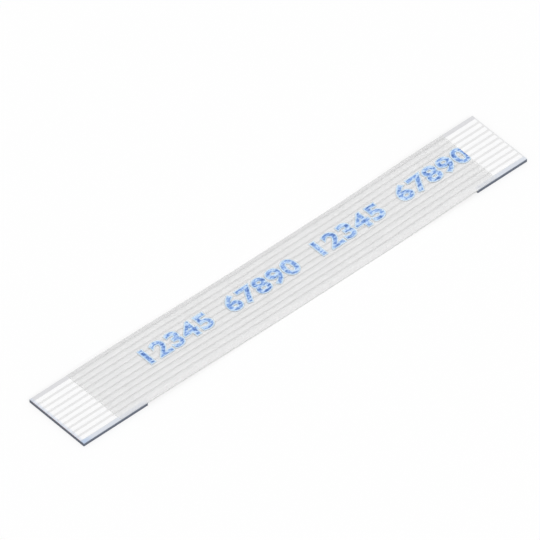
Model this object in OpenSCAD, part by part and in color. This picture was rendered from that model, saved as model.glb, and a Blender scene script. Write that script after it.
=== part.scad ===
// Flat flex cable. Flat conductors lie side by side between a base film and a
// cover film. Both ends are bared on the upper face and backed by a stiffener
// on the lower one, so each end slides into a board connector.
//
// Millimetres. X runs along the cable, Y across it and Z up. The origin is on
// the table, under the middle of the cable. The ends stand on their
// stiffeners, and the film between them settles onto the table.

/* [Cable] */
// Length of the cable from end to end
cable_len = 40; // [35:1:200]
// Number of conductors side by side
conductor_count = 10; // [4:1:20]
// Distance from the middle of one conductor to the middle of the next
pitch = 0.5; // [0.5:0.05:1.25]
// Distance from the middle of an outer conductor to the edge of the films
edge_margin = 0.5; // [0.3:0.05:1]

/* [Conductors] */
// Width of one conductor
conductor_w = 0.32; // [0.2:0.01:0.36]
// Thickness of one conductor
conductor_t = 0.035; // [0.03:0.005:0.1]

/* [Films] */
// Thickness of the base film under a conductor
base_film_t = 0.0425; // [0.03:0.0025:0.1]
// Thickness of the cover film over a conductor
cover_film_t = 0.0425; // [0.03:0.0025:0.1]
// How far the cover film sinks beside and between the conductors
ridge_drop = 0.012; // [0.004:0.001:0.02]
// How far the slope of a ridge reaches past the conductor's edge
ridge_flank_w = 0.05; // [0.02:0.005:0.065]
// Length of bare contact at the left end
window_left = 3.3; // [2:0.1:5]
// Length of bare contact at the right end
window_right = 2.8; // [2:0.1:4]

/* [Stiffeners] */
// Thickness of a stiffener
stiffener_t = 0.2225; // [0.15:0.0025:0.3]
// Length of the stiffener under the left end
stiffener_left_len = 5.7; // [4:0.1:7]
// Length of the stiffener under the right end
stiffener_right_len = 4.5; // [4:0.1:6]

/* [Lie of the cable] */
// Length over which the film comes down to the table from the left stiffener
settle_left = 14; // [8:0.5:15]
// Length over which the film comes down to the table from the right stiffener
settle_right = 9; // [6:0.5:10]

/* [Hidden] */
// Number of straight steps in each stretch that comes down to the table
settle_steps = 7;

left_x = -cable_len / 2;
right_x = cable_len / 2;
cable_w = (conductor_count - 1) * pitch + 2 * edge_margin;

// Heights above the underside of the base film. The films meet at half the
// thickness of the conductors, where the conductors' rolled edges stand out.
conductor_low = base_film_t;
film_joint = base_film_t + conductor_t / 2;
conductor_high = base_film_t + conductor_t;
ridge_high = conductor_high + cover_film_t;
ridge_low = ridge_high - ridge_drop;

// Half of a conductor's width, and half of the flat between its rolled edges
half_w = conductor_w / 2;
half_flat = half_w - conductor_t / 2;

// Where the film leaves each stiffener
left_seat_x = left_x + stiffener_left_len;
right_seat_x = right_x - stiffener_right_len;

film_colour = [0.93, 0.94, 0.95];
tin_colour = [0.80, 0.81, 0.82];
stiffener_colour = [0.20, 0.42, 0.78];

function conductor_name(i) = str("conductor_", i);

// Y of the middle of conductor i, from 1 at the -Y edge
function conductor_y(i) = (i - (conductor_count + 1) / 2) * pitch;

// Smooth step from 0 to 1, level at both ends
function ease(u) = let (c = min(max(u, 0), 1)) c * c * (3 - 2 * c);

// Height of the base film's underside above the table, at x along the cable
function lift(x) = stiffener_t * max(
    ease(1 - (x - left_seat_x) / settle_left),
    ease(1 - (right_seat_x - x) / settle_right)
);

// The places along X where the cable bends a little, in order
bends = [
    for (k = [0:settle_steps]) left_seat_x + settle_left * k / settle_steps,
    for (k = [settle_steps:-1:0]) right_seat_x - settle_right * k / settle_steps
];

// Stations from x0 to x1. Every layer takes its own from the same bends, so
// that the layers meet face to face.
function stations(x0, x1) = [x0, for (x = bends) if (x > x0 && x < x1) x, x1];

function reversed(list) = [for (k = [len(list) - 1:-1:0]) list[k]];

// Sweeps a closed outline of [y, z] points along the cable, from x0 to x1. The
// outline runs counter-clockwise as seen from +X and stays upright. Its cells
// are the convex pieces of its area, as lists of its points' numbers.
module sweep(outline, cells, x0, x1) {
    xs = stations(x0, x1);
    n = len(outline);
    last = (len(xs) - 1) * n;
    points = [for (x = xs, p = outline) [x, p[0], lift(x) + p[1]]];
    sides = [
        for (k = [0:len(xs) - 2], i = [0:n - 1])
            let (a = k * n + i, b = k * n + (i + 1) % n) [a, a + n, b + n, b]
    ];
    end = [for (cell = cells) [for (i = reversed(cell)) last + i]];
    polyhedron(points, concat(cells, sides, end));
}

// Sweeps a layer given as columns of [y, low, high], in order of rising y
module sweep_layer(columns, x0, x1) {
    n = len(columns);
    outline = concat(
        [for (c = columns) [c[0], c[1]]],
        [for (c = reversed(columns)) [c[0], c[2]]]
    );
    cells = [for (i = [0:n - 2]) [i, i + 1, 2 * n - 2 - i, 2 * n - 1 - i]];
    sweep(outline, cells, x0, x1);
}

// The columns of a film: one at each edge, and between them the same few
// columns over every conductor, with y counted from the conductor's middle
function film_columns(edge, over) = concat(
    [[-cable_w / 2, edge[0], edge[1]]],
    [
        for (i = [1:conductor_count], c = over)
            [conductor_y(i) + c[0], c[1], c[2]]
    ],
    [[cable_w / 2, edge[0], edge[1]]]
);

// The film that carries everything. It runs the whole length, and its upper
// face has a channel for the lower half of each conductor.
module base_film() {
    channel = [
        [-half_w, 0, film_joint],
        [-half_flat, 0, conductor_low],
        [half_flat, 0, conductor_low],
        [half_w, 0, film_joint]
    ];
    color(film_colour)
        sweep_layer(film_columns([0, film_joint], channel), left_x, right_x);
}

// The film that stops short at each end, so that the contacts are bare. It
// has a channel below and a soft ridge above each conductor.
module cover_film() {
    foot = half_w + ridge_flank_w;
    slope_z = ridge_low
        + ridge_drop * ease(ridge_flank_w / (foot - half_flat));
    ridge = [
        [-foot, film_joint, ridge_low],
        [-half_w, film_joint, slope_z],
        [-half_flat, conductor_high, ridge_high],
        [half_flat, conductor_high, ridge_high],
        [half_w, film_joint, slope_z],
        [foot, film_joint, ridge_low]
    ];
    color(film_colour)
        sweep_layer(
            film_columns([film_joint, ridge_low], ridge),
            left_x + window_left,
            right_x - window_right
        );
}

// One flat conductor, rolled from round wire, so that its edges stand out at
// half its thickness. It is cut flush with the films at both ends.
module conductor(i) {
    y = conductor_y(i);
    outline = [
        [y - half_w, film_joint],
        [y - half_flat, conductor_low],
        [y + half_flat, conductor_low],
        [y + half_w, film_joint],
        [y + half_flat, conductor_high],
        [y - half_flat, conductor_high]
    ];
    color(tin_colour) sweep(outline, [[0, 1, 2, 3, 4, 5]], left_x, right_x);
}

// A stiff strip bonded under one end, from x0 to x1
module stiffener(x0, x1) {
    color(stiffener_colour)
        translate([x0, -cable_w / 2, 0])
            cube([x1 - x0, cable_w, stiffener_t]);
}

module stiffener_left() {
    stiffener(left_x, left_seat_x);
}

module stiffener_right() {
    stiffener(right_seat_x, right_x);
}

base_film();
cover_film();
stiffener_left();
stiffener_right();
for (i = [1:conductor_count])
    conductor(i);
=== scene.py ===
# %% [markdown]
# # A flat flex cable
# A flat flex cable joins two circuit boards inside a device. Ten flat copper
# conductors lie side by side between a base film and a shorter cover film. At
# each end the cover film stops short, so that the tinned conductors are bare
# contacts, and a stiff blue strip under the base film lets the soft end be
# pushed into a connector.
#
# The CAD model is loaded first, as a fixed frame. Every size that it holds is
# read from it, so the pieces made here lie exactly where the solids do.

import math

import bmesh
import bpy
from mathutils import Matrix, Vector


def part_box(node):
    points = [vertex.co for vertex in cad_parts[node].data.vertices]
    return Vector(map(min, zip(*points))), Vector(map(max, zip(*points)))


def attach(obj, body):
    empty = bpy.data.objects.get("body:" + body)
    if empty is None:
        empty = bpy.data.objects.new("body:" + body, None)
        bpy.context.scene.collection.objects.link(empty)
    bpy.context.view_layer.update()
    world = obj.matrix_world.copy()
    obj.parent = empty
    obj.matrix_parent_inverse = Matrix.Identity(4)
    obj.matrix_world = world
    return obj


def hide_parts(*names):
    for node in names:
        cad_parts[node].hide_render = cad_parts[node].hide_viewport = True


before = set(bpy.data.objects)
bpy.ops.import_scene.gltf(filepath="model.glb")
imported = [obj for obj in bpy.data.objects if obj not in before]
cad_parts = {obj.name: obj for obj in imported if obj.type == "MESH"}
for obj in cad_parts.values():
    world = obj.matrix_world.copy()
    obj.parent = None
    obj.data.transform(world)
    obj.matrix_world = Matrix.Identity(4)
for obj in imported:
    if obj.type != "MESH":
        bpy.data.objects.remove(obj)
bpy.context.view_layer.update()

# %% [markdown]
# ## Sizes
# X runs along the cable, Y across it and Z up, in metres. Heights inside the
# cable are counted from the underside of the base film. That underside is on
# the table in the middle of the cable and a stiffener's thickness above it at
# the ends, so a few box corners give every thickness. Only the small shape of
# the ridges and the length of each slope aren't in a box, and they are named.

# %% Sizes from the frame
MM = 1e-3
UM = 1e-6

conductor_names = sorted(
    (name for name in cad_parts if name.startswith("conductor_")),
    key=lambda name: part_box(name)[0].y,
)
conductor_boxes = [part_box(name) for name in conductor_names]
conductor_middles = [(low.y + high.y) / 2 for low, high in conductor_boxes]
strip_low, strip_high = conductor_boxes[0]
film_low, film_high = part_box("base_film")
cover_low, cover_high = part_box("cover_film")
left_seat_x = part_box("stiffener_left")[1].x
right_seat_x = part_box("stiffener_right")[0].x

pitch = (conductor_middles[-1] - conductor_middles[0]) / (len(conductor_middles) - 1)
stiffener_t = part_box("stiffener_left")[1].z
base_t = strip_low.z - film_low.z
strip_t = strip_high.z - stiffener_t - base_t
cover_t = cover_high.z - strip_high.z
joint_z = base_t + strip_t / 2
half_strip = (strip_high.y - strip_low.y) / 2
half_flat = half_strip - strip_t / 2

ridge_drop = 12 * UM
ridge_flank = 50 * UM
settle_left = 14 * MM
settle_right = 9 * MM
ridge_foot = half_strip + ridge_flank
ridge_high = base_t + strip_t + cover_t
ridge_low = ridge_high - ridge_drop
print("pitch and thicknesses, mm:", [round(v / MM, 4) for v in (pitch, base_t, strip_t, cover_t)])

# %% [markdown]
# ## Camera
# The view looks down on the cable from one end and one side. A very long lens
# from more than a metre away keeps the two long edges parallel, as on a
# product picture. The target is set a little off the cable's middle, so that
# the cable lies where it should in the frame.

# %% Camera
view_azimuth = math.radians(-41.84)
view_elevation = math.radians(45.73)
lens_mm = 1200
field_w = 36.306 * MM
aim_right = -0.664 * MM
aim_up = 0.542 * MM

away = Vector((
    math.sin(view_azimuth) * math.cos(view_elevation),
    -math.cos(view_azimuth) * math.cos(view_elevation),
    math.sin(view_elevation),
))
right = Vector((math.cos(view_azimuth), math.sin(view_azimuth), 0))
up = away.cross(right)

camera_data = bpy.data.cameras.new("camera")
camera_data.lens = lens_mm
camera_data.clip_start = 0.01
camera_data.clip_end = 10
camera = bpy.data.objects.new("camera", camera_data)
bpy.context.scene.collection.objects.link(camera)
distance = field_w * lens_mm / camera_data.sensor_width
contact_top = Vector((0, 0, stiffener_t + base_t + strip_t))
target = contact_top + right * aim_right + up * aim_up
camera.location = target + away * distance
camera.rotation_euler = away.to_track_quat("Z", "Y").to_euler()
bpy.context.scene.camera = camera
print("camera distance, m:", round(distance, 3))

# %% [markdown]
# ## Nodes as Python
# Geometry and materials are both built from nodes. A small class wraps a node
# socket, so that sums on it read as ordinary maths and add Math nodes as they
# go. Its graph makes any other node in one call: settings first, then sockets.

# %% Node helpers
class Field:
    """A socket in a node graph. Arithmetic on it adds Math nodes."""

    def __init__(self, graph, socket):
        self.graph = graph
        self.socket = socket

    def math(self, operation, *values):
        return self.graph.node("ShaderNodeMath", {"operation": operation}, dict(enumerate(values)))

    def __add__(self, other):
        return self.math("ADD", self, other)

    def __radd__(self, other):
        return self.math("ADD", other, self)

    def __sub__(self, other):
        return self.math("SUBTRACT", self, other)

    def __rsub__(self, other):
        return self.math("SUBTRACT", other, self)

    def __mul__(self, other):
        return self.math("MULTIPLY", self, other)

    def __rmul__(self, other):
        return self.math("MULTIPLY", other, self)

    def __abs__(self):
        return self.math("ABSOLUTE", self)

    def largest(self, other):
        return self.math("MAXIMUM", self, other)

    def smallest(self, other):
        return self.math("MINIMUM", self, other)

    def step(self, start, end):
        """Rises smoothly from 0 at start to 1 at end. The start may be the larger one."""
        settings = {"interpolation_type": "SMOOTHSTEP"}
        return self.graph.node("ShaderNodeMapRange", settings, {0: self, 1: start, 2: end})

    def between(self, rise, fall):
        """1 past the rise and before the fall. Each is a pair: where it is 0 and where it is 1."""
        return self.step(*rise) * self.step(*fall)

    def spread(self, low, high):
        """Takes 0 to 1 on to low to high."""
        return self * (high - low) + low


class Graph:
    """A node tree, and the one way in which nodes are added to it."""

    def __init__(self, tree):
        self.tree = tree

    def node(self, kind, settings=None, sockets=None, out=0):
        made = self.tree.nodes.new(kind)
        for name, value in (settings or {}).items():
            setattr(made, name, value)
        for key, value in (sockets or {}).items():
            self.plug(made.inputs[key], value)
        return Field(self, made.outputs[out]) if made.outputs else made

    def plug(self, socket, value):
        if isinstance(value, Field):
            self.tree.links.new(value.socket, socket)
        elif value is not None:
            socket.default_value = value

    def sibling(self, field, out):
        """Another output of the node that a field comes from."""
        return Field(self, field.socket.node.outputs[out])


def srgb(red, green, blue):
    """A colour given as 0 to 255, as a screen shows it, in linear light."""
    def linear(level):
        level = level / 255
        return level / 12.92 if level <= 0.04045 else ((level + 0.055) / 1.055) ** 2.4
    return (linear(red), linear(green), linear(blue), 1.0)


def grey(level):
    return srgb(level, level, level)


def signed_volume(mesh):
    """Volume inside a closed mesh, in cubic millimetres. It is below 0 if the faces look inwards."""
    shape = bmesh.new()
    shape.from_mesh(mesh)
    volume = shape.calc_volume(signed=True)
    shape.free()
    return volume / MM ** 3


print("node helpers ready")

# %% [markdown]
# ## Studio light
# The studio is a pale dome with two broad suns, the stronger one on the
# viewer's side. Added up, the light on the table is at the plain level, where
# a colour renders as it is written. The camera and mirror-like rays see the
# dome pure white instead, so that the tinned contacts show a white studio.
# The rays that miss everything find the dome, so it is not sampled as a lamp.

# %% World and lamps
dome_level = 0.50
key_level = 0.42
fill_level = 0.06

scene = bpy.context.scene
scene.view_settings.view_transform = "Standard"

world = bpy.data.worlds.new("studio")
world.use_nodes = True
world.node_tree.nodes.clear()
world.cycles.sampling_method = "NONE"
scene.world = world
sky = Graph(world.node_tree)


def seen_rays(graph):
    """1 for the rays that show the background: camera, mirror and see-through rays."""
    path = graph.node("ShaderNodeLightPath")
    mirror = graph.sibling(path, "Is Glossy Ray")
    through = graph.sibling(path, "Is Transmission Ray")
    return path.largest(mirror).largest(through)


white = (1.0, 1.0, 1.0, 1.0)
dome_light = sky.node("ShaderNodeBackground", None, {"Color": white, "Strength": dome_level})
dome_seen = sky.node("ShaderNodeBackground", None, {"Color": white, "Strength": 1.0})
dome = sky.node("ShaderNodeMixShader", None, {0: seen_rays(sky), 1: dome_light, 2: dome_seen})
sky.node("ShaderNodeOutputWorld", None, {"Surface": dome})


def sun(name, level, azimuth, elevation, spread):
    """A soft lamp that lights a level surface to that level. Azimuth 0 is from -Y and 90 from +X."""
    lamp = bpy.data.lights.new(name, "SUN")
    lamp.energy = math.pi * level / math.sin(math.radians(elevation))
    lamp.angle = math.radians(spread)
    holder = bpy.data.objects.new(name, lamp)
    holder.rotation_euler = (math.radians(90 - elevation), 0, math.radians(azimuth))
    holder.visible_glossy = False
    scene.collection.objects.link(holder)


sun("key_sun", key_level, azimuth=-22, elevation=50, spread=50)
sun("fill_sun", fill_level, azimuth=150, elevation=50, spread=60)
print("light on the table:", round(dome_level + key_level + fill_level, 3))

# %% [markdown]
# ## Table
# The cable lies on a plain table. Its matt grey paint takes the cable's
# shadow, and a glow that only the camera and mirror-like rays see lifts it to
# white. Seen from below the table is clear, so that the underside can be
# looked at.

# %% Floor
floor_colour = grey(160)
floor_glow = 0.65
floor_reach = 1.5
floor_z = -3 * UM

floor_mesh = bpy.data.meshes.new("table_top")
corner_signs = [(-1, -1), (1, -1), (1, 1), (-1, 1)]
corners = [(x * floor_reach, y * floor_reach, floor_z) for x, y in corner_signs]
floor_mesh.from_pydata(corners, [], [(0, 1, 2, 3)])
floor = bpy.data.objects.new("table_top", floor_mesh)
scene.collection.objects.link(floor)

floor_material = bpy.data.materials.new("table_paint")
floor_material.use_nodes = True
floor_material.node_tree.nodes.clear()
paint = Graph(floor_material.node_tree)
matt = paint.node("ShaderNodeBsdfDiffuse", None, {"Color": floor_colour})
glow = paint.node("ShaderNodeEmission", None, {"Color": white, "Strength": seen_rays(paint) * floor_glow})
lit = paint.node("ShaderNodeAddShader", None, {0: matt, 1: glow})
under = paint.sibling(paint.node("ShaderNodeNewGeometry"), "Backfacing")
clear = paint.node("ShaderNodeBsdfTransparent")
top_side = paint.node("ShaderNodeMixShader", None, {0: under, 1: lit, 2: clear})
paint.node("ShaderNodeOutputMaterial", None, {"Surface": top_side})
floor_mesh.materials.append(floor_material)
print("floor side, m:", 2 * floor_reach)

# %% [markdown]
# ## Finishes
# A finish is a Principled shader with what varies worked out from Object
# coordinates, so the pattern stays on the piece wherever it is seen from. The
# first helper starts a material and gives the coordinates in millimetres,
# because every feature here is a fraction of one.

# %% Material helper
class Finish(Graph):
    """A material on its way: its shader, and the place on the piece in millimetres."""

    def __init__(self, name, **constants):
        self.material = bpy.data.materials.new(name)
        self.material.use_nodes = True
        super().__init__(self.material.node_tree)
        self.shader = self.tree.nodes["Principled BSDF"]
        for socket, value in constants.items():
            self.shader.inputs[socket.replace("_", " ")].default_value = value
        place = self.node("ShaderNodeTexCoord", None, None, "Object")
        facing = self.sibling(place, "Normal")
        self.place = self.node(
            "ShaderNodeVectorMath", {"operation": "SCALE"}, {0: place, "Scale": 1 / MM}
        )
        self.x, self.y, self.z = self.split(self.place)
        self.nx, self.ny, self.nz = self.split(facing)

    def split(self, vector):
        """The X, Y and Z of a vector."""
        first = self.node("ShaderNodeSeparateXYZ", None, {0: vector})
        return first, self.sibling(first, 1), self.sibling(first, 2)

    def noise(self, size, detail=2.0, roughness=0.5, shift=0.0):
        """Soft noise from 0 to 1, with features of size = (x, y, z) millimetres."""
        scaled = self.node(
            "ShaderNodeMapping", None,
            {"Vector": self.place, "Location": (shift, shift, shift),
             "Scale": tuple(1 / length for length in size)},
        )
        return self.node(
            "ShaderNodeTexNoise", None,
            {"Vector": scaled, "Scale": 1.0, "Detail": detail, "Roughness": roughness},
        )

    def mix(self, factor, first, second):
        """From the first colour at 0 to the second at 1."""
        settings = {"data_type": "RGBA"}
        return self.node("ShaderNodeMix", settings, {0: factor, 6: first, 7: second}, 2)

    def bump(self, height, reach_um, strength=1.0):
        """A normal from a height of 0 to 1 that stands for that many micrometres."""
        return self.node(
            "ShaderNodeBump", None,
            {"Height": height, "Distance": reach_um * UM, "Strength": strength},
        )

    def from_conductor(self):
        """Place across the cable, in millimetres from the middle of the nearest conductor."""
        number = self.y * (MM / pitch) + (len(conductor_middles) + 1) / 2
        nearest = number.math("ROUND", number).largest(1).smallest(len(conductor_middles))
        return (number - nearest) * (pitch / MM)

    def off_conductor(self):
        """Distance across the cable from the middle of the nearest conductor, in millimetres."""
        return abs(self.from_conductor())

    def paint(self, **sockets):
        """Links or sets the shader's sockets, and gives the finished material."""
        for socket, value in sockets.items():
            self.plug(self.shader.inputs[socket.replace("_", " ")], value)
        return self.material


print("finish helper ready")

# %% [markdown]
# ## Film finishes
# Both films are polyester, milky from the adhesive inside, so a conductor
# shows through the cover film as a paler stripe. Alpha does this: it lets the
# piece below show by its share, costs little to render and survives export.
# Clouds, streaks along the roll and a fine grain are the same on both.

# %% Film look
polyester_ior = 1.57
half_width = film_high.y / MM
left_end = film_low.x / MM
right_end = film_high.x / MM
cut_facing = (0.5, 0.8)


def milky(film, tones, seed):
    """A milky tone with soft clouds, and faint lines along the roll."""
    cloud = film.noise((1.6, 0.5, 0.5), detail=3.0, roughness=0.55, shift=seed)
    streak = film.noise((9.0, 0.09, 0.09), detail=2.0, roughness=0.6, shift=seed + 7.0)
    pale = film.mix(cloud.step(0.3, 0.7), tones[0], tones[1])
    return film.mix(streak.step(0.35, 0.75) * 0.15, pale, tones[2])


def film_surface(film, opacity, tone, roughness, seed):
    """What both films share: satin grain, slow waves and the see-through part."""
    grain = film.noise((0.05, 0.03, 0.03), detail=2.0, roughness=0.5, shift=seed + 3.0)
    wave = film.noise((4.0, 2.5, 2.5), detail=1.0, roughness=0.4, shift=seed + 5.0)
    return film.paint(
        Alpha=opacity,
        Base_Color=tone,
        Roughness=grain.spread(roughness, roughness + 0.12),
        Normal=film.bump(wave * 0.8 + grain * 0.2, 2.0, 0.5),
    )


print("film half width, mm:", round(half_width, 3))

# %% [markdown]
# ### Cover film
# The cover film is the clearer one. Over each conductor it rises in a ridge,
# whose flank away from the light is a little darker and whose other flank is a
# little paler. Both flanks are painted by their distance from the nearest
# conductor, because the ridge is only twelve micrometres high.

# %% Cover film finish
cover_opacity = 0.28
dark_flank_rise, dark_flank_fall = (0.07, 0.15), (0.30, 0.18)
pale_flank_rise, pale_flank_fall = (-0.08, -0.17), (-0.50, -0.30)


def cover_finish():
    film = Finish("cover_film_milky", IOR=polyester_ior)
    tone = milky(film, (grey(246), grey(249), grey(252)), 1.0)
    side = film.from_conductor()
    dark_flank = side.between(dark_flank_rise, dark_flank_fall)
    pale_flank = side.between(pale_flank_rise, pale_flank_fall)
    tone = film.mix(dark_flank * 0.38, tone, grey(212))
    tone = film.mix(pale_flank * 0.8, tone, grey(255))
    # Painted light: the cover film's cut end faces are painted near white, so that they don't show as a
    # dark line at the window edge.
    cut_end = abs(film.nx).step(*cut_facing)
    tone = film.mix(cut_end, tone, grey(254))
    return film_surface(film, cover_opacity, tone, roughness=0.29, seed=1.0)


cover_film = cover_finish()
print("cover film finish:", cover_film.name)

# %% [markdown]
# ### Base film
# The base film carries more adhesive and is nearly opaque. No metal lies under
# its margins. On the stiffener they take a blue tint from the strip below,
# which is strongest at the near corner and along the cut end. Along its whole
# length the far margin is painted a little greyer as painted shade, less so
# under the cover film, and past the stiffener the near margin is painted paler
# as painted light. The cut end faces are painted dark slate, and the cut sides
# slate on the stiffener and light grey beyond it: painted shade, for faces
# that get little light.

# %% Base film finish
base_opacity = 0.88
far_margin_rise = (half_width - 0.40, half_width - 0.30)
near_margin_rise = (0.36 - half_width, 0.26 - half_width)
corner_along, corner_across = (left_end + 1.1, left_end), (0.6 - half_width, 0.1 - half_width)
tip_rise = (left_end + 0.30, left_end + 0.05)
seat_fade = 0.3
cover_fade = 0.05
cover_start, cover_end = cover_low.x / MM, cover_high.x / MM
left_seat, right_seat = left_seat_x / MM, right_seat_x / MM


def base_finish():
    film = Finish("base_film_milky", IOR=polyester_ior)
    tone = milky(film, (grey(243), grey(247), grey(250)), 4.0)
    # Painted shade: the far margin is painted greyer, less under the cover film, as if it turned away
    # from the key light.
    far_margin_shade = film.y.step(*far_margin_rise)
    covered = film.x.between(
        (cover_start - cover_fade, cover_start + cover_fade),
        (cover_end + cover_fade, cover_end - cover_fade),
    )
    tone = film.mix(far_margin_shade * (0.9 - covered * 0.6), tone, srgb(230, 230, 233))
    near_margin = film.y.step(*near_margin_rise)
    left_zone = film.x.step(left_seat + seat_fade, left_seat - seat_fade)
    right_zone = film.x.step(right_seat - seat_fade, right_seat + seat_fade)
    on_stiffener = left_zone.largest(right_zone)
    tone = film.mix(near_margin * on_stiffener * 0.5, tone, srgb(214, 225, 243))
    # Painted light: past the stiffener the near margin is painted white, as if it turned towards the key
    # light.
    tone = film.mix(near_margin * (1 - on_stiffener) * 0.8, tone, grey(255))
    corner = film.x.step(*corner_along) * film.y.step(*corner_across)
    tone = film.mix(corner * 0.6, tone, srgb(160, 196, 238))
    tip = film.x.step(*tip_rise)
    tone = film.mix(tip * 0.5, tone, srgb(206, 218, 238))
    # Painted shade: the cut end faces are painted a dark slate, since they get little light.
    cut_end = abs(film.nx).step(*cut_facing)
    tone = film.mix(cut_end, tone, srgb(126, 134, 152))
    # Painted shade: the cut side faces are painted slate on the stiffener and a light grey beyond it.
    shaded_cut_side = abs(film.ny).step(*cut_facing)
    tone = film.mix(shaded_cut_side * on_stiffener, tone, srgb(160, 168, 183))
    tone = film.mix(shaded_cut_side * (1 - on_stiffener) * 0.5, tone, srgb(222, 222, 224))
    return film_surface(film, base_opacity, tone, roughness=0.30, seed=4.0)


base_film = base_finish()
print("base film finish:", base_film.name)

# %% [markdown]
# ## Tinned copper
# The conductors are rolled copper wire with a bright tin plating. Rolling
# leaves long fine lines along the strip. The cut at each end goes through the
# plating, so a copper core shows there inside a thin rim of tin. Towards each
# cut the tin's colour is toned down, to a bluish grey at the near end and a
# grey at the far end.

# %% Conductor material
plating = 0.004
near_tip_rise = (left_end + 0.30, left_end)
far_tip_rise = (right_end - 0.16, right_end - 0.06)
core_facing = (0.7, 0.9)


def tin_finish():
    tin = Finish("tinned_copper", Metallic=1.0, IOR=2.0)
    lines = tin.noise((14.0, 0.022, 0.022), detail=3.0, roughness=0.6)
    patches = tin.noise((1.1, 0.12, 0.12), detail=3.0, roughness=0.55, shift=2.0)
    bright = tin.mix(patches.step(0.3, 0.7), srgb(250, 250, 251), grey(253))
    drawn = tin.mix(lines.step(0.45, 0.8) * 0.4, bright, srgb(240, 241, 244))
    drawn = tin.mix(tin.x.step(*near_tip_rise), drawn, srgb(220, 228, 240))
    drawn = tin.mix(tin.x.step(*far_tip_rise) * 0.6, drawn, srgb(218, 219, 221))
    off_middle = abs(tin.z - (stiffener_t + joint_z) / MM)
    inside_flat = off_middle.step(strip_t / 2 / MM - plating, strip_t / 2 / MM - 2 * plating)
    inside_width = tin.off_conductor().step(half_strip / MM - plating, half_strip / MM - 2 * plating)
    core = abs(tin.nx).step(*core_facing) * inside_flat * inside_width
    return tin.paint(
        Base_Color=tin.mix(core, drawn, srgb(214, 140, 104)),
        Roughness=(lines * 0.6 + patches * 0.4).spread(0.28, 0.42),
        Normal=tin.bump(lines * 0.7 + patches * 0.3, 1.2, 0.5),
    )


tin = tin_finish()
print("metal finish:", tin.name)

# %% [markdown]
# ## Stiffener finish
# The stiffener is a thicker strip of blue polyester. Its faces are evenly
# coloured with a fine satin grain. Its cut edges are rougher, and they are
# painted a dull dark slate as painted shade, since those sides get little
# light. The Normal in Texture Coordinate tells a face from a cut edge.

# %% Stiffener material
face_facing = (0.5, 0.85)


def stiffener_finish():
    strip = Finish("blue_stiffener", IOR=polyester_ior)
    cloud = strip.noise((1.8, 1.2, 1.2), detail=3.0, roughness=0.5, shift=9.0)
    grain = strip.noise((0.06, 0.04, 0.04), detail=2.0, roughness=0.5, shift=3.0)
    cut = strip.noise((0.7, 0.7, 0.02), detail=3.0, roughness=0.6, shift=6.0)
    face = strip.mix(cloud.step(0.3, 0.7), srgb(52, 112, 200), srgb(66, 128, 212))
    # Painted shade: the cut edges are painted a dull slate instead of the blue, since those sides get
    # little light.
    edge = strip.mix(cut.step(0.3, 0.75), srgb(92, 99, 114), srgb(108, 115, 130))
    on_face = abs(strip.nz).step(*face_facing)
    return strip.paint(
        Base_Color=strip.mix(on_face, edge, face),
        Roughness=grain.spread(0.3, 0.45) + (1 - on_face) * 0.2,
        Normal=strip.bump(grain * 0.6 + cut * 0.4, 2.0, 0.5),
    )


stiffener_blue = stiffener_finish()
print("stiffener finish:", stiffener_blue.name)

# %% [markdown]
# ## One sweep for every layer
# Each layer is a section pulled along the cable. Python draws the section as a
# closed outline, and one Geometry Nodes tree sweeps it from one X to another,
# closes its ends and lets it settle onto the table between the stiffeners. All
# the layers take their height from the same rule, so they stay stacked.

# %% The sweep tree
TREE_INPUTS = (
    ("Section", "NodeSocketObject"),
    ("Start", "NodeSocketFloat"),
    ("End", "NodeSocketFloat"),
    ("Across", "NodeSocketFloat"),
    ("Stations", "NodeSocketInt"),
    ("Finish", "NodeSocketMaterial"),
)
station_step = 0.25 * MM
sharp_angle = math.radians(40)


def settled(x):
    """Height of the base film's underside above the table, at x along the cable."""
    left = x.step(left_seat_x + settle_left, left_seat_x)
    right_side = x.step(right_seat_x - settle_right, right_seat_x)
    return left.largest(right_side) * stiffener_t


def new_tree(name, inputs):
    tree = bpy.data.node_groups.new(name, "GeometryNodeTree")
    for label, kind in inputs:
        tree.interface.new_socket(label, in_out="INPUT", socket_type=kind)
    tree.interface.new_socket("Geometry", in_out="OUTPUT", socket_type="NodeSocketGeometry")
    return Graph(tree)


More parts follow.
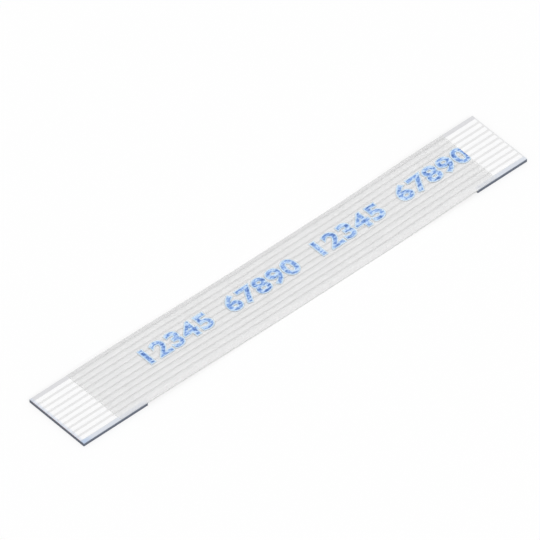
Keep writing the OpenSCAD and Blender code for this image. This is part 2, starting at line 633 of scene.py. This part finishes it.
def sweep_tree():
    graph = new_tree("sweep_section", TREE_INPUTS)
    given = graph.node("NodeGroupInput")
    ask = {label: graph.sibling(given, label) for label, kind in TREE_INPUTS}
    start = graph.node("ShaderNodeCombineXYZ", None, {"X": ask["Start"]})
    end = graph.node("ShaderNodeCombineXYZ", None, {"X": ask["End"]})
    line = graph.node(
        "GeometryNodeMeshLine", {"mode": "END_POINTS", "count_mode": "TOTAL"},
        {"Count": ask["Stations"], "Start Location": start, "Offset": end},
    )
    path = graph.node("GeometryNodeMeshToCurve", None, {"Mesh": line})
    drawn = graph.node("GeometryNodeObjectInfo", None, {"Object": ask["Section"]}, "Geometry")
    section = graph.node("GeometryNodeMeshToCurve", None, {"Mesh": drawn})
    swept = graph.node(
        "GeometryNodeCurveToMesh", None,
        {"Curve": path, "Profile Curve": section, "Fill Caps": True},
    )
    place = graph.node("GeometryNodeInputPosition")
    along = graph.node("ShaderNodeSeparateXYZ", None, {0: place})
    move = graph.node("ShaderNodeCombineXYZ", None, {"Y": ask["Across"], "Z": settled(along)})
    laid = graph.node("GeometryNodeSetPosition", None, {"Geometry": swept, "Offset": move})
    smooth = graph.node(
        "GeometryNodeSetShadeSmooth", {"domain": "FACE"},
        {"Geometry": laid, "Shade Smooth": True},
    )
    bend = graph.node("GeometryNodeInputMeshEdgeAngle")
    crease = graph.node(
        "FunctionNodeCompare", {"data_type": "FLOAT", "operation": "GREATER_THAN"},
        {0: bend, 1: sharp_angle},
    )
    creased = graph.node(
        "GeometryNodeSetShadeSmooth", {"domain": "EDGE"},
        {"Geometry": smooth, "Selection": crease, "Shade Smooth": False},
    )
    whole = graph.node("GeometryNodeRealizeInstances", None, {0: creased})
    done = graph.node("GeometryNodeSetMaterial", None, {"Geometry": whole, "Material": ask["Finish"]})
    graph.node("NodeGroupOutput", None, {"Geometry": done})
    return graph.tree


sweep = sweep_tree()
print("nodes in the sweep tree:", len(sweep.nodes))

# %% [markdown]
# ### Running the tree
# An object with a Geometry Nodes modifier is made anew each time it is looked
# at. Here the tree runs once and its result is kept as a plain mesh, which can
# be measured and exported. The section is a small object of its own, removed
# as soon as the sweep is done. On a path along X, Curve to Mesh lays a
# section's X along -Y and its Y along -Z, so both are drawn with their sign
# turned round.

# %% Run the tree
def grow(name, tree, values):
    """Runs a tree with those named inputs, and keeps its result as a plain mesh."""
    seed_mesh = bpy.data.meshes.new(name)
    piece = bpy.data.objects.new(name, seed_mesh)
    scene.collection.objects.link(piece)
    modifier = piece.modifiers.new("grow", "NODES")
    modifier.node_group = tree
    for item in tree.interface.items_tree:
        if item.in_out == "INPUT" and item.name in values:
            modifier[item.identifier] = values[item.name]
    bpy.context.view_layer.update()
    evaluated = piece.evaluated_get(bpy.context.evaluated_depsgraph_get())
    mesh = bpy.data.meshes.new_from_object(evaluated)
    piece.modifiers.clear()
    piece.data = mesh
    mesh.name = name
    bpy.data.meshes.remove(seed_mesh)
    return piece


def sweep_section(name, outline, start, end, across, finish):
    """Sweeps a closed outline of (y, z), counter-clockwise as seen from +X."""
    outline_mesh = bpy.data.meshes.new("section")
    edges = [(i, (i + 1) % len(outline)) for i in range(len(outline))]
    outline_mesh.from_pydata([(-y, -z, 0) for y, z in outline], edges, [])
    section = bpy.data.objects.new("section", outline_mesh)
    scene.collection.objects.link(section)
    stations = round((end - start) / station_step) + 1
    piece = grow(name, sweep, {
        "Section": section, "Start": start, "End": end, "Across": across,
        "Stations": stations, "Finish": finish,
    })
    bpy.data.objects.remove(section)
    bpy.data.meshes.remove(outline_mesh)
    return piece


def belongs(piece, slot, *nodes):
    """The piece rides on the cable's one body and stands for its solids, which are hidden."""
    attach(piece, "root")
    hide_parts(*nodes)
    volume = round(signed_volume(piece.data), 4)
    print(f"{piece.name}: {len(piece.data.polygons)} faces, {volume} mm3")
    return piece


print("stations along the whole cable:", round((film_high.x - film_low.x) / station_step) + 1)

# %% [markdown]
# ## Sections of the films
# The base film has a shallow channel for the lower half of each conductor. The
# cover film has one for the upper half, and a soft ridge above it, which is
# what makes the stripes catch the light. One function gives a film's height at
# any distance from a conductor, and the outline takes points only where that
# height bends. A gap of a micrometre stands for the adhesive, so that no two
# faces share a plane.

# %% Film sections
glue = 1 * UM
roll_steps = 4
flank_steps = 4
roll = strip_t / 2
flank_reach = ridge_foot - half_flat


def ease(u):
    """Smooth step from 0 to 1, level at both ends."""
    u = min(max(u, 0), 1)
    return u * u * (3 - 2 * u)


def settled_at(x):
    """The same rule as in the tree, for one number."""
    left = ease(1 - (x - left_seat_x) / settle_left)
    right_side = ease(1 - (right_seat_x - x) / settle_right)
    return stiffener_t * max(left, right_side)


def rolled(off):
    """Half the thickness of a channel, at a distance from the conductor's middle."""
    past = off - half_flat
    if past <= 0:
        return roll
    return math.sqrt(max(roll * roll - past * past, 0))


def ridge_height(off):
    """Height of the cover film's upper face, at a distance from the conductor's middle."""
    return ridge_low + ridge_drop * ease((ridge_foot - off) / flank_reach)


channel_turns = [math.pi / 2 * k / roll_steps for k in range(roll_steps + 1)]
channel_offs = [half_flat + roll * math.sin(turn) for turn in channel_turns]
ridge_offs = [half_flat + flank_reach * k / flank_steps for k in range(flank_steps + 1)]


def across_all(offs):
    """Every conductor's (y, distance) pairs, in order of rising y."""
    signed = [-off for off in reversed(offs)] + list(offs)
    return [(middle + off, abs(off)) for middle in conductor_middles for off in signed]


def film_outline(low_face, high_face, low_edge, high_edge):
    """Low face from -Y to +Y, then high face back. A face is a list of (y, z) between its edges."""
    left, right_edge = film_low.y, film_high.y
    low = [(left, low_edge)] + low_face + [(right_edge, low_edge)]
    high = [(left, high_edge)] + high_face + [(right_edge, high_edge)]
    return low + high[::-1]


def channel(off):
    """Half the height of a channel with its adhesive, and 0 beside a conductor."""
    return rolled(off) + glue if off < half_strip - UM else 0


channel_points = across_all(channel_offs)
base_top = [(y, joint_z - channel(off)) for y, off in channel_points]
cover_under = [(y, joint_z + max(channel(off), glue)) for y, off in channel_points]
cover_top = [(y, ridge_height(off)) for y, off in across_all(ridge_offs)]
base_outline = film_outline([], base_top, glue, joint_z)
cover_outline = film_outline(cover_under, cover_top, joint_z + glue, ridge_low)
print("points in the film sections:", len(base_outline), len(cover_outline))

# %% [markdown]
# ## Films
# Each film is one sweep of its section. The base film runs from end to end.
# The cover film starts and stops where the frame says, which leaves the
# contacts bare.

# %% Sweep the films
base_piece = sweep_section("base_film_sheet", base_outline, film_low.x, film_high.x, 0, base_film)
belongs(base_piece, "base_film", "base_film")
cover_piece = sweep_section("cover_film_sheet", cover_outline, cover_low.x, cover_high.x, 0, cover_film)
belongs(cover_piece, "cover_film", "cover_film")

# %% [markdown]
# ## Conductors
# Ten strips of rolled wire, all alike: flat above and below, round at both
# edges. One section is drawn once around y = 0, and a loop runs the same tree
# with a different place across the cable.

# %% Conductor strips
edge_points = 9
turns = [math.pi * (k / (edge_points - 1) - 0.5) for k in range(edge_points)]
strip_outline = [(half_flat + roll * math.cos(t), joint_z + roll * math.sin(t)) for t in turns]
strip_outline += [(-half_flat - roll * math.cos(t), joint_z - roll * math.sin(t)) for t in turns]
for name, middle in zip(conductor_names, conductor_middles):
    strip = sweep_section(f"{name}_strip", strip_outline, strip_low.x, strip_high.x, middle, tin)
    belongs(strip, "conductor", name)

# %% [markdown]
# ## Stiffeners
# Each stiffener is sheared from a wider strip and bonded under an end. A plain
# box would have knife edges, so a small bevel takes the light along them. The
# box is taken straight from the frame, and the bevel keeps inside it.

# %% Stiffener strips
edge_round = 7 * UM
edge_round_steps = 3


def stiffener_strip(name, node):
    low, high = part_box(node)
    shape = bmesh.new()
    bmesh.ops.create_cube(shape, size=1)
    for vertex in shape.verts:
        vertex.co = Vector(
            (high[axis] if vertex.co[axis] > 0 else low[axis]) for axis in range(3)
        )
    bmesh.ops.bevel(
        shape, geom=shape.edges[:], offset=edge_round, segments=edge_round_steps,
        profile=0.5, affect="EDGES",
    )
    mesh = bpy.data.meshes.new(name)
    shape.to_mesh(mesh)
    shape.free()
    mesh.materials.append(stiffener_blue)
    mesh.shade_smooth()
    piece = bpy.data.objects.new(name, mesh)
    scene.collection.objects.link(piece)
    return piece


for node in ("stiffener_left", "stiffener_right"):
    strip = stiffener_strip(f"{node}_strip", node)
    belongs(strip, "stiffener", node)

# %% [markdown]
# ## Printed numerals
# Such a cable has a line of print along its cover film. Here it is a plain
# count of numerals, in fives. Each numeral comes from Blender's own lettering,
# made a mesh and stretched until a nought has the size set here.

# %% Numeral meshes
numeral_high = 1.36 * MM
numeral_wide = 1.04 * MM
numeral_step = 1.29 * MM
numerals_start_x = -12.1 * MM
numerals_y = 0.46 * MM
numeral_group = 5
numeral_curve_steps = 5


def numeral_flat(sign):
    """A numeral's flat mesh, in the lettering's own units."""
    words = bpy.data.curves.new("numeral", "FONT")
    words.body = sign
    words.resolution_u = numeral_curve_steps
    holder = bpy.data.objects.new("numeral", words)
    scene.collection.objects.link(holder)
    bpy.context.view_layer.update()
    evaluated = holder.evaluated_get(bpy.context.evaluated_depsgraph_get())
    mesh = bpy.data.meshes.new_from_object(evaluated)
    bpy.data.objects.remove(holder)
    bpy.data.curves.remove(words)
    return mesh


def mesh_range(mesh, axis):
    values = [vertex.co[axis] for vertex in mesh.vertices]
    return min(values), max(values)


nought = numeral_flat("0")
nought_x = mesh_range(nought, 0)
nought_y = mesh_range(nought, 1)
bpy.data.meshes.remove(nought)
stretch_x = numeral_wide / (nought_x[1] - nought_x[0])
stretch_y = numeral_high / (nought_y[1] - nought_y[0])


def placed_numeral(number, middle_x):
    """The flat mesh of a numeral on the cable, at z = 0."""
    flat = numeral_flat(str(number % 10))
    for vertex in flat.vertices:
        vertex.co.x = middle_x + (vertex.co.x - sum(nought_x) / 2) * stretch_x
        vertex.co.y = numerals_y + (vertex.co.y - sum(nought_y) / 2) * stretch_y
        vertex.co.z = 0
    return flat


print("stretch of the lettering, mm:", round(stretch_x / MM, 3), round(stretch_y / MM, 3))

# %% [markdown]
# ### Wider print, laid on the ridges
# Ink spreads a little past the stamp, and where it has bled into the film it
# spreads further and is paler. Both are the same numerals with a band added
# along their outline. The print follows the ridges: it is cut along every line
# where the film bends, and each corner then drops onto the film.

# %% Widen, cut and lay the print
same_place = UM / 1000
near_enough = UM / 100
follow_step = 0.5 * MM
sharpest_mitre = 0.5


def face_up(shape):
    for face in shape.faces:
        if face.normal.z < 0:
            face.normal_flip()


def widen(shape, rim):
    """Grows a flat mesh by a band of that width along its whole outline."""
    face_up(shape)
    outline = [edge for edge in shape.edges if edge.is_boundary]
    outward = {}
    for edge in outline:
        loop = edge.link_loops[0]
        along = (loop.link_loop_next.vert.co - loop.vert.co).normalized()
        for vertex in edge.verts:
            outward.setdefault(vertex, []).append(Vector((along.y, -along.x, 0)))
    grown = bmesh.ops.extrude_edge_only(shape, edges=outline)
    for vertex in [item for item in grown["geom"] if isinstance(item, bmesh.types.BMVert)]:
        ends = [edge.other_vert(vertex) for edge in vertex.link_edges]
        inner = next(end for end in ends if end in outward)
        first, second = outward[inner][0], outward[inner][-1]
        mitre = (first + second).normalized()
        vertex.co = inner.co + mitre * (rim / max(mitre.dot(first), sharpest_mitre))


def cut_across(shape, at, axis, keep_below=False):
    """Cuts the flat mesh along one line. What lies past the line may be cut off."""
    place = Vector((0, 0, 0))
    place[axis] = at
    normal = Vector((0, 0, 0))
    normal[axis] = 1
    bmesh.ops.bisect_plane(
        shape, geom=shape.verts[:] + shape.edges[:] + shape.faces[:],
        plane_co=place, plane_no=normal, dist=same_place, clear_outer=keep_below,
    )


def cut_at_bends(shape):
    """Cuts the flat print along every line where the cover film bends."""
    bottom = min(vertex.co.y for vertex in shape.verts)
    top = max(vertex.co.y for vertex in shape.verts)
    for y, off in across_all(ridge_offs):
        if bottom < y < top:
            cut_across(shape, y, 1)
    lines = int((cover_high.x - numerals_start_x) / follow_step) + 1
    for k in range(lines):
        cut_across(shape, numerals_start_x + k * follow_step, 0)


def film_top(x, y):
    """Height of the cover film's upper face at a place on the cable."""
    off = min(abs(y - middle) for middle in conductor_middles)
    near = max([edge for edge in ridge_offs if edge <= off + near_enough], default=0)
    far = min([edge for edge in ridge_offs if edge >= off - near_enough], default=near)
    share = 0 if far == near else (off - near) / (far - near)
    ridge = ridge_height(near) + (ridge_height(max(far, near)) - ridge_height(near)) * share
    return settled_at(x) + (ridge if off < ridge_foot else ridge_low)


def lay_on_film(shape, low, high):
    """Makes the flat print a thin closed layer, from low to high above the film."""
    face_up(shape)
    raised = bmesh.ops.extrude_face_region(shape, geom=shape.faces[:])
    upper = {item for item in raised["geom"] if isinstance(item, bmesh.types.BMVert)}
    for vertex in shape.verts:
        above = high if vertex in upper else low
        vertex.co.z = film_top(vertex.co.x, vertex.co.y) + above
    bmesh.ops.recalc_face_normals(shape, faces=shape.faces)


print("bends in the film along one conductor:", 2 * len(ridge_offs))

# %% [markdown]
# ### The line of print
# All the numerals are one mesh. The count stops where the cover film does, and
# the last numeral is cut off there. The flat mesh then becomes a thin closed
# layer, a few micrometres through, that reaches just into the film.

# %% Line of print
print_end = cover_high.x - 5 * UM


def numerals(name, rim, low, high, finish):
    """The whole line of print, from low to high above the film, as one closed mesh."""
    print_mesh = bmesh.new()
    number = 0
    while True:
        cell = number + number // numeral_group
        middle_x = numerals_start_x + cell * numeral_step + numeral_wide / 2
        if middle_x - numeral_wide / 2 > cover_high.x:
            break
        number += 1
        flat = placed_numeral(number, middle_x)
        print_mesh.from_mesh(flat)
        bpy.data.meshes.remove(flat)
    bmesh.ops.remove_doubles(print_mesh, verts=print_mesh.verts, dist=near_enough)
    widen(print_mesh, rim)
    cut_across(print_mesh, print_end, 0, keep_below=True)
    cut_at_bends(print_mesh)
    lay_on_film(print_mesh, low, high)
    mesh = bpy.data.meshes.new(name)
    print_mesh.to_mesh(mesh)
    print_mesh.free()
    mesh.materials.append(finish)
    piece = bpy.data.objects.new(name, mesh)
    scene.collection.objects.link(piece)
    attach(piece, "root")
    volume = round(signed_volume(mesh), 6)
    print(f"{name}: {number} numerals, {len(mesh.polygons)} faces, {volume} mm3")
    return piece


print("print stops at x, mm:", round(print_end / MM, 3))

# %% [markdown]
# ## Ink finishes
# The ink is thin and uneven. It is deeper where it pooled and pale where it
# broke, a little more so in the valleys between the ridges that the stamp
# missed. The bleed is the same blue, but very pale and partly see-through.

# %% Ink materials
ink_ior = 1.45
ink_rim, ink_low, ink_high = 0.03 * MM, -0.4 * UM, 2.2 * UM
bleed_rim, bleed_low, bleed_high = 0.12 * MM, -0.8 * UM, 0.9 * UM
valley_rise = (0.15, 0.23)


def ink_finish():
    ink = Finish("blue_ink", IOR=ink_ior)
    pools = ink.noise((0.30, 0.17, 0.3), detail=3.0, roughness=0.55, shift=3.0)
    specks = ink.noise((0.05, 0.05, 0.3), detail=2.0, roughness=0.6, shift=8.0)
    valley = ink.off_conductor().step(*valley_rise)
    thin = pools * 0.85 + specks * 0.15 + valley * 0.06
    deep = ink.mix(thin.step(0.36, 0.50), srgb(68, 106, 176), srgb(130, 168, 228))
    return ink.paint(
        Base_Color=ink.mix(thin.step(0.50, 0.62), deep, srgb(204, 228, 255)),
        Roughness=specks.spread(0.4, 0.6),
        Normal=ink.bump(pools, 1.0, 0.4),
    )


def bleed_finish():
    bleed = Finish("ink_bleed", IOR=ink_ior)
    soft = bleed.noise((0.2, 0.15, 0.3), detail=2.0, roughness=0.5, shift=12.0)
    patchy = soft.step(0.3, 0.7)
    return bleed.paint(
        Alpha=patchy.spread(0.75, 0.95),
        Base_Color=bleed.mix(patchy, srgb(208, 233, 255), srgb(224, 242, 255)),
        Roughness=soft.spread(0.35, 0.5),
    )


ink_piece = numerals("numerals_ink", ink_rim, ink_low, ink_high, ink_finish())
bleed_piece = numerals("numerals_bleed", bleed_rim, bleed_low, bleed_high, bleed_finish())

# %% [markdown]
# ## Free cable
# The cable is soft and free. Its path is the middle line of the base film,
# from one end to the other, and its length is printed.

path_points = 41
path_step = (film_high.x - film_low.x) / (path_points - 1)
cable_x = [film_low.x + path_step * k for k in range(path_points)]
cable_path = [(x, 0, settled_at(x) + joint_z / 2) for x in cable_x]
print("cable length, mm:", round((film_high.x - film_low.x) / MM, 3))
